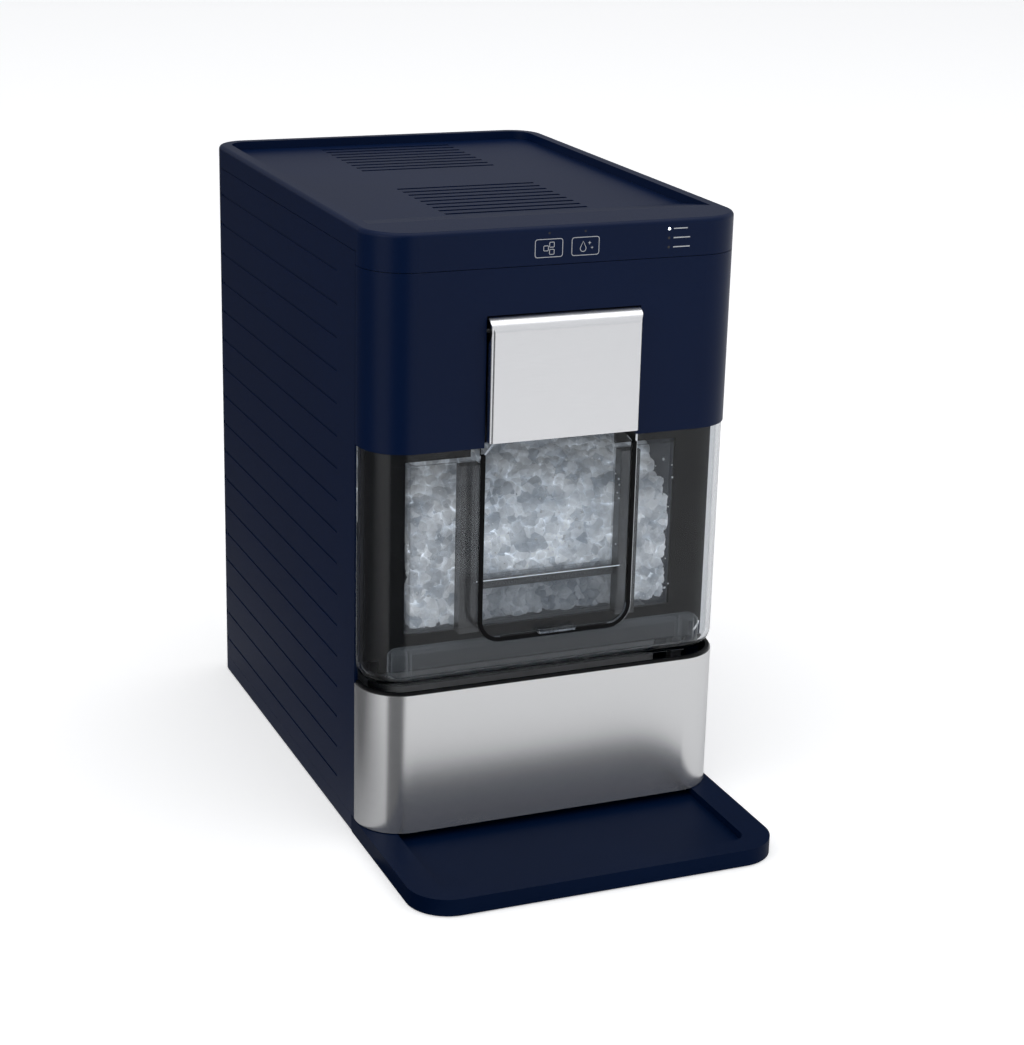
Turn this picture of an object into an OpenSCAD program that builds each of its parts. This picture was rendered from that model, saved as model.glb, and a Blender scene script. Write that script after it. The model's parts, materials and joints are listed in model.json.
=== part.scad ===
// Countertop nugget ice maker with a lift-up scoop door, clear ice window and slide-out drip tray.
// Millimetres, +Z up, front of the machine toward -Y, origin under the middle of the whole outline.
// Heights are above the counter; depths inside the modules are measured back from the front face.

/* [Overall] */
// width of the cabinet
body_w = 259; // [215:1:312]
// depth of the cabinet without the drip tray
body_d = 371; // [340:1:450]
// overall height above the counter
body_h = 419; // [410:1:505]
// radius of the two front vertical corners
front_r = 30; // [24:1:32]
// radius of the two rear vertical corners
rear_r = 24; // [16:1:26]
// wall of the moulded outer panels
wall = 2.4; // [1.8:0.1:3.2]
// visible gap between neighbouring outer panels
seam = 0.4; // [0.3:0.05:0.8]
// depth of the front shells before the side panels start
front_depth = 34; // [33:0.5:44]

/* [Heights of the front bands] */
// underside of the steel skirt
skirt_z0 = 12.9; // [12:0.1:16]
// top of the steel skirt
skirt_z1 = 112; // [90:1:125]
// lower edge of the clear window
window_z0 = 114.5; // [92:0.5:128]
// upper edge of the clear window
window_z1 = 277; // [240:1:300]
// height of the lid's front control band
band_h = 24.5; // [22:0.5:34]
// height of the lid's side skirts
lid_side_h = 16; // [12:0.5:20]

/* [Lid] */
// width of the raised rim round the recess
lid_rim = 9.5; // [6:0.5:14]
// depth of the recess in the top
lid_recess = 6; // [3:0.5:9]
// thickness of the recess floor
lid_floor = 3.2; // [2:0.2:5]
// rounding of the top outer edge
lid_edge_r = 3; // [1:0.5:5]
// where the ramp up to the front strip starts, back from the front face
lid_ramp_y = 78; // [60:1:80]
// vent slots in each of the two groups
vent_count = 9; // [4:1:10]
// distance between neighbouring vent slots
vent_pitch = 11.6; // [9:0.2:12]
// length of a vent slot across the lid
vent_len = 102; // [60:1:140]
// width of a vent slot
vent_slot = 4; // [2:0.2:6]
// first slot of the front group
vent_front_y = 84; // [80:1:100]
// first slot of the rear group
vent_rear_y = 252.5; // [235:0.5:262]

/* [Side grooves] */
// grooves down each side panel
groove_count = 17; // [8:1:18]
// height of the lowest groove
groove_z0 = 28.5; // [20:0.5:34]
// distance between neighbouring grooves
groove_pitch = 22.18; // [18:0.1:23]
// height of a groove
groove_w = 1.6; // [1:0.1:4]
// depth of a groove
groove_depth = 0.6; // [0.3:0.1:1.2]
// front end of the grooves
groove_y0 = 71; // [50:1:90]

/* [Scoop door] */
// width of the steel door plate
plate_w = 105.4; // [90:0.2:120]
// lower edge of the steel door plate
plate_z0 = 281.8; // [279:0.2:290]
// upper edge of the steel door plate
plate_z1 = 363.2; // [340:0.2:375]
// how far the steel plate stands in front of the cabinet
plate_out = 7; // [4:0.5:10]
// thickness of the steel plate
plate_t = 1.2; // [0.8:0.1:2]
// rounding of the steel plate's upright edges
plate_edge_r = 2.6; // [1:0.1:4]
// hinge line behind the front face
hinge_y = 2.2; // [2.1:0.1:3]
// radius of the hinge pins
pin_r = 1.5; // [1:0.1:1.8]
// running clearance of the hinge pins
pin_clear = 0.06; // [0.02:0.01:0.1]
// gap between the door and the opening round it
door_gap = 0.9; // [0.5:0.1:1.5]
// width of the clear flap without its seal
flap_w = 104.4; // [90:0.2:120]
// lower edge of the flap's seal
flap_z0 = 142.5; // [135:0.5:160]
// thickness of the clear flap
flap_t = 3; // [2:0.2:4]
// width of the rubber seal round the flap
seal_w = 2.9; // [1.5:0.1:4]
// outer radius of the flap's lower corners
flap_r = 16; // [8:1:24]

/* [Window and ice bin] */
// thickness of the clear window wall
window_t = 3; // [2:0.2:4]
// step of the window in from the steel and the front panel
window_inset = 1; // [0.4:0.1:2]
// rounding of the window's lower edge
window_r = 13; // [8:1:14]
// half width of the moulded ledge at the foot of the window
ledge_x = 113; // [96:1:118]
// top of the ledge
ledge_z1 = 140; // [130:1:141]
// width of the ice bin
bin_w = 191; // [160:1:200]
// front of the ice bin behind the front face
bin_y0 = 23; // [22.5:0.5:27]
// rear of the ice bin behind the front face
bin_y1 = 168; // [140:1:172]
// underside of the ice bin
bin_z0 = 146; // [144:0.5:160]
// top of the ice bin's walls
bin_z1 = 262; // [230:1:266]
// wall of the ice bin
bin_t = 2.5; // [2:0.1:4]
// height of the lip a scoop passes over
lip_z = 182; // [165:1:200]
// width of the scoop opening
scoop_w = 100; // [80:1:102]
// width of the column on each side of the scoop opening
rim_w = 14; // [6:1:16]

/* [Drip tray] */
// how far the tray stands out in front
tray_out = 98; // [60:1:130]
// how far the tray reaches under the cabinet
tray_in = 39.2; // [30:0.2:50]
// top of the tray
tray_z1 = 12.4; // [9:0.1:12.5]
// gap between the tray and the counter
tray_z0 = 0.8; // [0.5:0.1:2]
// width of the tray's flat rim
tray_rim = 20; // [10:1:30]
// depth of the tray's well
tray_well = 5; // [4.4:0.1:6]
// radius of the tray's front corners
tray_r = 28; // [15:1:40]

/* [Ice engine] */
// distance of the freezing barrel behind the front face
barrel_y = 225; // [216:1:228]
// bore radius of the freezing barrel
barrel_r = 22; // [18:0.5:23]
// wall of the freezing barrel
barrel_t = 4; // [2.5:0.5:4.2]
// height of the bottom of the barrel
barrel_z0 = 148.4; // [148:0.2:152]
// height of the top of the barrel
barrel_z1 = 299.4; // [280:0.2:300]
// gap between the auger flight and the barrel
auger_gap = 0.6; // [0.3:0.1:1]
// turns of the auger flight
auger_turns = 4; // [2:1:6]
// gear module of the auger drive
gear_m = 1.5; // [1.2:0.1:1.5]
// teeth of the auger gear
gear_teeth = 48; // [36:4:48]
// teeth of the motor pinion
pinion_teeth = 12; // [9:1:12]
// radius of the compressor can
comp_r = 47; // [38:1:47]
// radius of the fan wheel
fan_r = 44; // [34:1:45]
// fan blades
fan_blades_n = 5; // [3:1:9]
// cooling fins of the condenser
fin_count = 22; // [10:1:24]

/* [Hidden] */
$fn = 48;
front_y = tray_out - (body_d + tray_out) / 2;
half_w = body_w / 2;
band_z0 = body_h - band_h;
lid_side_z0 = body_h - lid_side_h;
e = 0.01;
navy = [0.05, 0.10, 0.25];
navy_dark = [0.03, 0.07, 0.18];
steel = [0.75, 0.76, 0.77];
clear = [0.55, 0.60, 0.64];
black = [0.08, 0.08, 0.09];
copper = [0.72, 0.43, 0.28];
grey = [0.45, 0.46, 0.48];
white = [0.86, 0.87, 0.88];
plate_y0 = -plate_out;
hinge_z = plate_z1 - plate_out - hinge_y;
ledge_z0 = window_z0 + window_t + 5;
roll_r = plate_out + hinge_y;
door_x = plate_w / 2 + door_gap;
flap_y0 = window_inset;
seal_x = flap_w / 2 + seal_w;
window_cut_x = seal_x + seam;
lamp_x = 71.4;
lamp_rows = [for (i = [1:3]) body_h - 6 * i];
key_x = 12.4;
lid_under = body_h - lid_recess - lid_floor;
panel_top = band_z0 - seam;
side_top = lid_side_z0 - seam;
side_y0 = front_depth + seam;
deck_z0 = 13;
post_x = half_w - 11.5;
rear_half = half_w - 29.5;
board_x = half_w - 17.5;
shoulder_x = flap_w / 2 - 6.2;
screw_x = rear_half - 8;
deck_t = 3;
deck_z = deck_z0 + deck_t;
back_in = body_d - wall;
screw_rows = [24, 210, side_top - 8.6];
gear_r = gear_m * gear_teeth / 2;
pinion_r = gear_m * pinion_teeth / 2;
gear_gap = 0.3;
motor_x = gear_r + pinion_r + gear_gap;
gear_z0 = 112;
gear_h = 10;
case_z0 = 98;
case_z1 = barrel_z0 - 0.4;
shaft_r = 6;
cond_x0 = 14;
cond_pitch = 4;
cond_x1 = cond_x0 + cond_pitch * (fin_count - 1);
cond_y0 = body_d - 37;
cond_y1 = body_d - 13;
cond_yc = (cond_y0 + cond_y1) / 2;
cond_z0 = 57;
tube_n = 8;
tube_pitch = 18;
tube_z0 = 66;
tube_r = 3.2;
fan_x = 56;
fan_z = 129;
shroud_y1 = cond_y0 - 2;
shroud_y0 = shroud_y1 - 33;
comp_x = -68;
comp_y = body_d - 57;
comp_z1 = 160;
mount_r = comp_r - 3.5;
pump_x = -80;
pump_y = 205;
res_y1 = 165;
float_x = 70;
float_y = 105;
drain_x = 5;
drain_z = 32;
inlet_x = 62;
inlet_z = 36;
foot_x = 96;
foot_y0 = 64;
foot_y1 = body_d - 34;
foot_h = 6;
foot_r = 10;
tongue_x = 60;
tongue_y1 = 96;

module at_front() translate([0, front_y, 0]) children();

// Plan outline between two depths with its own front and rear corner radii.
module plan(w, y0, y1, rf, rr) {
  translate([-w / 2, y0 + rf]) square([w, y1 - y0 - rf - rr]);
  if (rf > 0) {
    translate([-w / 2 + rf, y0]) square([w - 2 * rf, rf + e]);
    for (s = [-1, 1]) translate([s * (w / 2 - rf), y0 + rf]) circle(rf);
  }
  if (rr > 0) {
    translate([-w / 2 + rr, y1 - rr - e]) square([w - 2 * rr, rr + e]);
    for (s = [-1, 1]) translate([s * (w / 2 - rr), y1 - rr]) circle(rr);
  }
}

module both_sides() {
  children();
  mirror([1, 0, 0]) children();
}

// Carries a section round the front: section x runs in from the outer face, section y runs up.
module front_sweep(w, r, y_end) {
  translate([-(w / 2 - r), 0, 0]) rotate([90, 0, 90]) linear_extrude(w - 2 * r) children();
  both_sides() {
    translate([-(w / 2 - r), r, 0]) rotate([0, 0, 180])
      rotate_extrude(angle = 90) translate([r, 0]) mirror([1, 0]) children();
    translate([-w / 2, y_end, 0]) rotate([90, 0, 0]) linear_extrude(y_end - r) children();
  }
}

// Carries the same kind of section all the way round the cabinet.
module ring_sweep(w, d, rf, rr) {
  front_sweep(w, rf, d - rr) children();
  translate([w / 2 - rr, d, 0]) rotate([90, 0, -90]) linear_extrude(w - 2 * rr) children();
  both_sides() translate([-(w / 2 - rr), d - rr, 0]) rotate([0, 0, 90])
    rotate_extrude(angle = 90) translate([rr, 0]) mirror([1, 0]) children();
}

// Rectangle from (x0, z0) to (x1, z1) whose corner at (x0, z1) is rounded.
module top_round(x0, x1, z0, z1, r) {
  translate([x0 + r, z0]) square([x1 - x0 - r, z1 - z0]);
  translate([x0, z0]) square([r + e, z1 - z0 - r]);
  intersection() {
    translate([x0 + r, z1 - r]) circle(r);
    translate([x0, z1 - r - e]) square([r + e, r + e]);
  }
}

module bottom_round(x0, x1, z0, z1, r) {
  translate([0, z0 + z1]) mirror([0, 1]) top_round(x0, x1, z0, z1, r);
}

// Side view outline drawn as (depth, height) and carried across the machine.
module across(x0, x1) translate([x0, 0, 0]) rotate([90, 0, 90]) linear_extrude(x1 - x0) children();

// Cylinder lying front to back.
module rod_y(x, y0, y1, z, r) translate([x, y1, z]) rotate([90, 0, 0]) cylinder(h = y1 - y0, r = r);

module rod_x(x0, x1, y, z, r) translate([x0, y, z]) rotate([0, 90, 0]) cylinder(h = x1 - x0, r = r);

module box(x0, x1, y0, y1, z0, z1) translate([x0, y0, z0]) cube([x1 - x0, y1 - y0, z1 - z0]);

function unit(v) = v / norm(v);
// Polyline with every corner turned into a short curve.
function soften(p, r) = concat([p[0]], [for (i = [1:len(p) - 2], k = [0:4])
  let (a = p[i] + unit(p[i - 1] - p[i]) * r, b = p[i] + unit(p[i + 1] - p[i]) * r, t = k / 4)
  (1 - t) * (1 - t) * a + 2 * t * (1 - t) * p[i] + t * t * b], [p[len(p) - 1]]);
function ring_at(p, i, r, n) =
  let (a = p[max(i - 1, 0)], b = p[min(i + 1, len(p) - 1)], t = unit(b - a),
    u = unit(cross(t, [0.31, -0.45, 0.84])), v = cross(t, u))
  [for (k = [0:n - 1]) p[i] + r * (cos(360 * k / n) * u + sin(360 * k / n) * v)];

// Bent pipe with an open bore along a softened path.
module pipe(path, r, bore, bend, n = 12) {
  p = soften(path, bend);
  m = len(p);
  outer = [for (i = [0:m - 1]) each ring_at(p, i, r, n)];
  inner = [for (i = [0:m - 1]) each ring_at(p, i, bore, n)];
  sides = [for (i = [0:m - 2], k = [0:n - 1]) let (j = (k + 1) % n)
    each [[i * n + k, i * n + j, (i + 1) * n + j], [i * n + k, (i + 1) * n + j, (i + 1) * n + k]]];
  o = m * n;
  last = (m - 1) * n;
  bore_sides = [for (f = sides) [f[2] + o, f[1] + o, f[0] + o]];
  caps = [for (k = [0:n - 1]) let (j = (k + 1) % n) each [
    [k, o + j, j], [k, o + k, o + j],
    [last + k, last + j, o + last + j], [last + k, o + last + j, o + last + k]]];
  polyhedron(points = concat(outer, inner), faces = concat(sides, bore_sides, caps));
}

// Spur gear outline with flat-sided teeth.
module gear_outline(teeth, m, bore) {
  r = m * teeth / 2;
  root = r - 1.15 * m;
  tip = r + 0.8 * m;
  step = 360 / teeth;
  difference() {
    polygon([for (i = [0:teeth - 1]) each [
      for (q = [[root, -0.28], [r, -0.2], [tip, -0.1], [tip, 0.1], [r, 0.2], [root, 0.28]])
        q[0] * [cos((i + q[1]) * step), sin((i + q[1]) * step)]]]);
    circle(bore);
  }
}

// ---- cabinet ----

module base_pan() color(navy_dark) at_front() {
  difference() {
    union() {
      translate([0, 0, deck_z0]) linear_extrude(deck_t)
        plan(body_w - 8, 4, body_d - 3, front_r - 4, rear_r - 3);
      translate([0, 0, 1.6]) linear_extrude(deck_z0 - 1.6 + e) difference() {
        plan(body_w, tray_in + seam, body_d, 0, rear_r);
        plan(body_w - 6, tray_in + seam + 3, body_d - 3, 0, rear_r - 3);
      }
      for (x = [-1, 1], y = [foot_y0, foot_y1]) translate([x * foot_x, y, foot_h])
        cylinder(h = deck_z0 - foot_h + e, r = foot_r + 1);
      for (s = [-1, 1], q = [-12.5, 12.5]) translate([s * tongue_x + q, 0, 0])
        box(-1.2, 1.2, tray_in + 3, tongue_y1 + 14, 4, deck_z0 + e);
    }
    for (s = [-1, 1]) translate([s * tongue_x, 0, 0]) box(-11, 11, tray_in - 1, tray_in + 6, 1, 8);
    for (i = [0:5]) box(-70, 30, 200 + i * 14, 205 + i * 14, deck_z0 - 1, deck_z + 1);
  }
}

module rubber_feet() color(black) at_front()
  for (x = [-1, 1], y = [foot_y0, foot_y1]) translate([x * foot_x, y, 0]) cylinder(h = foot_h, r = foot_r);

module side_panel() {
  difference() {
    translate([0, 0, deck_z0 + 0.2]) linear_extrude(side_top - deck_z0 - 0.2) intersection() {
      difference() {
        plan(body_w, 0, body_d, front_r, rear_r);
        plan(body_w - 2 * wall, wall, back_in, front_r - wall, rear_r - wall);
      }
      translate([-half_w - 1, side_y0]) square([half_w + 1 - rear_half - seam, body_d]);
    }
    for (i = [0:groove_count - 1]) translate([0, 0, groove_z0 + i * groove_pitch]) {
      box(-half_w - 1, -half_w + groove_depth, groove_y0, body_d - rear_r - 4, -groove_w / 2, groove_w / 2);
      rod_x(-half_w - 1, -half_w + groove_depth * 1.6, body_d - rear_r + 0.6, 0, 2.4);
    }
  }
}

module left_side_panel() color(navy) at_front() side_panel();
module right_side_panel() color(navy) at_front() mirror([1, 0, 0]) side_panel();

module rear_panel() color(navy) at_front() {
  difference() {
    union() {
      box(-rear_half, rear_half, back_in, body_d, deck_z0 + 0.2, side_top);
      rod_y(drain_x, body_d - 19, body_d, drain_z, 11);
    }
    rod_y(drain_x, body_d - 20, body_d + 1, drain_z, 8.3);
    box(inlet_x - 14, inlet_x + 14, back_in - 1, body_d + 1, inlet_z - 10.5, inlet_z + 10.5);
    for (i = [0:13]) box(fan_x - 38, fan_x + 38, back_in - 1, body_d + 1, 68 + i * 9, 72 + i * 9);
    for (i = [0:7]) box(-60, 60, back_in - 1, body_d + 1, 300 + i * 9, 304 + i * 9);
    for (x = [-1, 1], z = screw_rows) {
      rod_y(x * screw_x, back_in - 1, body_d + 1, z, 1.6);
      rod_y(x * screw_x, body_d - 1.2, body_d + 1, z, 3.7);
    }
  }
}

module panel_screws() color(steel) at_front()
  for (x = [-screw_x, screw_x], z = screw_rows) translate([x, 0, z]) difference() {
    union() {
      rod_y(0, body_d - 1.2, body_d - 0.1, 0, 3.5);
      rod_y(0, body_d - 9, body_d - 1.1, 0, 1.6);
    }
    box(-2.4, 2.4, body_d - 0.7, body_d + 1, -0.4, 0.4);
    box(-0.4, 0.4, body_d - 0.7, body_d + 1, -2.4, 2.4);
  }

module inner_frame() color(grey) at_front() {
  for (s = [-1, 1]) translate([s * post_x, 0, 0]) {
    for (y = [52, body_d - 35]) box(-4, 4, y, y + 8, deck_z, lid_under - 0.2);
    box(-4, 4, 60 - e, body_d - 35 + e, lid_under - 8.2, lid_under - 0.2);
  }
}

module top_cover() color(navy) at_front() {
  in_w = body_w - 2 * lid_rim + 2;
  difference() {
    union() {
      ring_sweep(body_w, body_d, front_r, rear_r) {
        union() {
          top_round(0, lid_rim, lid_under, body_h, lid_edge_r);
          translate([0, band_z0]) square([2.6, lid_under - band_z0 + e]);
        }
      }
      translate([0, 0, lid_under]) linear_extrude(lid_floor)
        plan(in_w, lid_rim - 1, body_d - lid_rim + 1, front_r - lid_rim + 1, rear_r - lid_rim + 1);
      translate([0, 0, lid_under]) linear_extrude(lid_floor + lid_recess)
        intersection() {
          plan(in_w, lid_rim - 1, body_d - lid_rim + 1, front_r - lid_rim + 1, rear_r - lid_rim + 1);
          translate([-half_w, 0]) square([body_w, lid_ramp_y]);
        }
    }
    across(-half_w + lid_rim, half_w - lid_rim)
      polygon([[lid_ramp_y - 40, body_h + e], [lid_ramp_y, body_h - lid_recess],
        [lid_ramp_y + e, body_h - lid_recess], [lid_ramp_y + e, body_h + e]]);
    box(-half_w - 1, half_w + 1, front_depth, body_d + 1, band_z0 - 1, lid_side_z0);
    for (g = [vent_front_y, vent_rear_y], i = [0:vent_count - 1])
      translate([0, g + i * vent_pitch, lid_under - 1]) {
        box(-vent_len / 2, vent_len / 2, -vent_slot / 2, vent_slot / 2, 0, lid_floor + 2);
      }
    for (z = lamp_rows) rod_y(lamp_x, -1, 3, z, 0.9);
    for (x = [-key_x, key_x]) rod_y(x, -1, 3, body_h - 4.4, 0.7);
  }
}

module indicator_lenses() color(white) at_front() {
  for (z = lamp_rows) rod_y(lamp_x, 0, 3, z, 0.9);
  for (x = [-key_x, key_x]) rod_y(x, 0, 3, body_h - 4.4, 0.7);
}

module display_board() color([0.05, 0.30, 0.14]) at_front() {
  box(-88, 88, 3.4, 5, band_z0 + 1, lid_under - 0.5);
  for (x = [-key_x, key_x, 60, 66, -40, -52]) box(x - 3, x + 3, 5, 7.5, band_z0 + 4, band_z0 + 10);
}

module front_panel() color(navy) at_front() difference() {
  front_sweep(body_w, front_r, front_depth)
    translate([0, window_z1 + 0.3]) square([wall, panel_top - window_z1 - 0.3]);
  box(-door_x, door_x, -1, wall + 1, window_z1, plate_z1 + 0.7);
  for (s = [-1, 1]) translate([s * (door_x + 3.5), 0, hinge_z]) box(-3.6, 3.6, 0.55, wall + 1, -6.5, 6.5);
}

module hinge_brackets() color(black) at_front() for (s = [-1, 1]) {
  x0 = s > 0 ? door_x + 0.4 : -door_x - 6.4;
  difference() {
    box(x0, x0 + 6, 0.6, 8, hinge_z - 6, hinge_z + 6);
    rod_x(x0 - 1, x0 + 7, hinge_y, hinge_z, pin_r + pin_clear);
  }
}

module clear_window() color(clear) at_front() difference() {
  front_sweep(body_w, front_r, front_depth) difference() {
    bottom_round(window_inset, 18, window_z0, window_z1, window_r);
    bottom_round(window_inset + window_t, 19, window_z0 + window_t, window_z1 + 1, window_r - window_t);
  }
  box(-window_cut_x, window_cut_x, -1, 19, flap_z0 + flap_r, window_z1 + 1);
  translate([0, 19, 0]) rotate([90, 0, 0]) linear_extrude(20)
    flap_outline(window_cut_x, flap_z0 - seam, flap_r + seam);
}

// Lower outline of the flap: a rectangle with two rounded lower corners, drawn as (x, height).
module flap_outline(x, z, r) {
  translate([-x, z + r]) square([2 * x, 30]);
  translate([-x + r, z]) square([2 * (x - r), r + e]);
  for (s = [-1, 1]) translate([s * (x - r), z + r]) circle(r);
}

module window_ledge() color(clear) at_front() {
  r = 8;
  for (s = [-1, 1]) translate([s * (ledge_x - r), 14.5, 0]) rotate_extrude() difference() {
    mirror([1, 0]) top_round(-r, 0, ledge_z0, ledge_z1, 5);
    translate([-e, window_z0]) square([r - 2.5, ledge_z1 - window_z0 - 2.5]);
  }
  across(-ledge_x + r, ledge_x - r) difference() {
    union() {
      top_round(14.5 - r, 14.5 + e, ledge_z0, ledge_z1, 5);
      translate([29, 0]) mirror([1, 0]) top_round(14.5 - r, 14.5, ledge_z0, ledge_z1, 5);
      translate([15, window_z0 + window_t]) square([1.9 + e, ledge_z0 - window_z0 - window_t + e]);
    }
    translate([17 - r, window_z0]) square([2 * r - 5, ledge_z1 - window_z0 - 2.5]);
  }
}

module inner_liner() color(black) at_front() difference() {
  box(-half_w + 5.5, half_w - 5.5, bin_y0 + 5.2, bin_y0 + 7.6, window_z0 + window_t + 0.3, panel_top - 1);
  box(-bin_w / 2 - 1.5, bin_w / 2 + 1.5, bin_y0, bin_y0 + 9, bin_z0 - 2, bin_z1 + 1.5);
  box(-52, 52, bin_y0, bin_y0 + 9, bin_z1, bin_z1 + 10);
  both_sides()
    box(half_w - window_inset - window_r - 1, half_w, bin_y0, bin_y0 + 9, 0, window_z0 + window_r + 0.5);
}

module ice_bin() color(clear) at_front() difference() {
  translate([0, 0, bin_z0]) linear_extrude(bin_z1 - bin_z0) plan(bin_w, bin_y0, bin_y1, 6, 8);
  translate([0, 0, bin_z0 + bin_t]) linear_extrude(bin_z1 - bin_z0)
    plan(bin_w - 2 * bin_t, bin_y0 + bin_t, bin_y1 - bin_t, 6 - bin_t, 8 - bin_t);
  box(-scoop_w / 2, scoop_w / 2, bin_y0 - 1, bin_y0 + bin_t + 1, lip_z, bin_z1 + 1);
  for (x = [-80:16:80], y = [60:24:150]) translate([x, y, bin_z0 - 1]) cylinder(h = bin_t + 2, r = 2.5);
}

module bin_rim() color(clear) at_front() {
  both_sides() box(scoop_w / 2, scoop_w / 2 + rim_w, bin_y0 - 9, bin_y0 - 0.1, bin_z0, bin_z1);
  box(-scoop_w / 2 - 1, scoop_w / 2 + 1, bin_y0 - 9, bin_y0 - 0.1, lip_z - 6, lip_z - 4 + e);
  box(-scoop_w / 2 + e, scoop_w / 2 - e, bin_y0 - 9, bin_y0 - 6, lip_z - 4, lip_z);
}

module steel_skirt() color(steel) at_front() front_sweep(body_w, front_r, front_depth)
  translate([0, skirt_z0]) square([1, skirt_z1 - skirt_z0]);

module skirt_backer() color(black) at_front() front_sweep(body_w, front_r, front_depth)
  translate([1.1, deck_z + 0.2]) square([2.4, skirt_z1 + 1.8 - deck_z - 0.2]);

// ---- scoop door ----

module door_plate() color(steel) at_front() difference() {
  intersection() {
    across(-plate_w / 2, plate_w / 2) {
      translate([plate_y0, plate_z0]) square([plate_out - 0.6, hinge_z - plate_z0 + e]);
      intersection() {
        translate([hinge_y, hinge_z]) circle(roll_r);
        translate([plate_y0 - 1, hinge_z]) square([plate_out + hinge_y + 1, roll_r + 1]);
      }
    }
    translate([0, 0, plate_z0 - 1]) linear_extrude(plate_z1 - plate_z0 + 2)
      plan(plate_w, plate_y0, hinge_y + 1, plate_edge_r, 0);
  }
  across(-plate_w / 2 + plate_t, plate_w / 2 - plate_t)
    translate([plate_y0 + plate_t, plate_z0 + plate_t]) square([20, hinge_z - plate_z0 - plate_t + e]);
  across(-plate_w / 2 - 1, plate_w / 2 + 1) translate([hinge_y, hinge_z]) circle(roll_r - plate_t);
}

module door_carrier() color(black) at_front() {
  cx = plate_w / 2 - plate_t - 0.1;
  difference() {
    union() {
      box(-cx, cx, plate_y0 + plate_t, -0.6, plate_z0 + plate_t, hinge_z);
      rod_x(-cx, cx, hinge_y, hinge_z, roll_r - plate_t - 0.1);
      box(-shoulder_x + 2, shoulder_x - 2, -0.6 - e, flap_y0, plate_z0 + plate_t, plate_z0 + 20);
    }
    for (s = [-1, 1]) rod_x(s > 0 ? cx - 8 : -cx - 1, s > 0 ? cx + 1 : -cx + 8, hinge_y, hinge_z, pin_r);
  }
}

module hinge_pins() color(steel) at_front() for (s = [-1, 1]) {
  cx = plate_w / 2 - plate_t - 0.1;
  rod_x(s > 0 ? cx - 7.9 : -door_x - 6, s > 0 ? door_x + 6 : -cx + 7.9, hinge_y, hinge_z, pin_r);
}

module door_flap() color(clear) at_front() {
  translate([0, flap_y0 + flap_t, 0]) rotate([90, 0, 0]) linear_extrude(flap_t) {
    z0 = flap_z0 + seal_w;
    r = flap_r - seal_w;
    flap_outline(flap_w / 2, z0, r);
    translate([-flap_w / 2, z0 + r]) square([flap_w, window_z1 - 5 - z0 - r]);
    polygon([[-flap_w / 2, window_z1 - 5.01], [flap_w / 2, window_z1 - 5.01],
      [shoulder_x, window_z1 + 2], [-shoulder_x, window_z1 + 2]]);
    translate([-shoulder_x, window_z1 + 1.9]) square([2 * shoulder_x, plate_z0 + 20 - window_z1 - 1.9]);
  }
  box(-13, 13, flap_y0 - 5, flap_y0 + e, flap_z0 + 3.6, flap_z0 + 6);
}

module door_gasket() color(black) at_front()
  translate([0, flap_y0 + flap_t + 0.4, 0]) rotate([90, 0, 0]) linear_extrude(flap_t + 0.6) difference() {
    union() {
      flap_outline(seal_x, flap_z0, flap_r);
      translate([-seal_x, flap_z0 + flap_r]) square([2 * seal_x, window_z1 - 5 - flap_z0 - flap_r]);
    }
    union() {
      flap_outline(flap_w / 2, flap_z0 + seal_w, flap_r - seal_w);
      translate([-flap_w / 2, flap_z0 + flap_r]) square([flap_w, window_z1 - flap_z0]);
    }
  }

// ---- drip tray ----

module drip_tray() color(navy_dark) at_front() {
  well_z = tray_z1 - tray_well;
  difference() {
    translate([0, 0, tray_z0]) linear_extrude(tray_z1 - tray_z0) plan(body_w, -tray_out, tray_in, tray_r, 0);
    translate([0, 0, well_z]) linear_extrude(tray_well + 1)
      plan(body_w - 2 * tray_rim, -tray_out + tray_rim - 4, tray_in - 12, 10, 6);
    translate([0, 0, tray_z0 - 1]) linear_extrude(well_z - 2.2 - tray_z0 + 1)
      plan(body_w - 7, -tray_out + 3.5, tray_in - 3.5, tray_r - 3.5, 0);
  }
  for (s = [-1, 1]) translate([s * tongue_x, 0, 0]) box(-9.5, 9.5, tray_in - 4, tongue_y1, 3.2, 6.4);
}

// ---- water ----

module water_reservoir() color([0.80, 0.84, 0.88]) at_front() {
  difference() {
    translate([0, 0, deck_z]) linear_extrude(112) plan(200, 45, res_y1, 10, 10);
    translate([0, 0, deck_z + 2.5]) linear_extrude(120) plan(195, 47.5, res_y1 - 2.5, 7.5, 7.5);
    rod_y(-60, res_y1 - 4, res_y1 + 1, 34, 3);
    rod_y(drain_x, res_y1 - 4, res_y1 + 1, drain_z, 3);
  }
  translate([float_x, float_y, deck_z + 2.4]) cylinder(h = 100, r = 3);
}

module float() color(white) at_front() translate([float_x, float_y, deck_z + 5]) difference() {
  cylinder(h = 22, r = 14);
  translate([0, 0, -1]) cylinder(h = 24, r = 3.3);
}

module pump_housing() color(black) at_front() {
  translate([pump_x, pump_y, deck_z]) difference() {
    cylinder(h = 46, r = 20);
    translate([0, 0, 4]) cylinder(h = 24, r = 16);
    translate([0, 0, 27]) cylinder(h = 20, r = 3);
    rod_y(0, -21, -10, 18, 3);
  }
  translate([pump_x, pump_y, deck_z + 3.9]) cylinder(h = 22, r = 2);
}

module pump_impeller() color(white) at_front() translate([pump_x, pump_y, deck_z + 6]) {
  difference() {
    union() {
      cylinder(h = 2, r = 14);
      cylinder(h = 14, r = 4.5);
      for (i = [0:5]) rotate(i * 60) translate([3, -0.8, 1.9]) cube([10, 1.6, 9]);
    }
    translate([0, 0, -1]) cylinder(h = 20, r = 2.06);
  }
}

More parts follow.
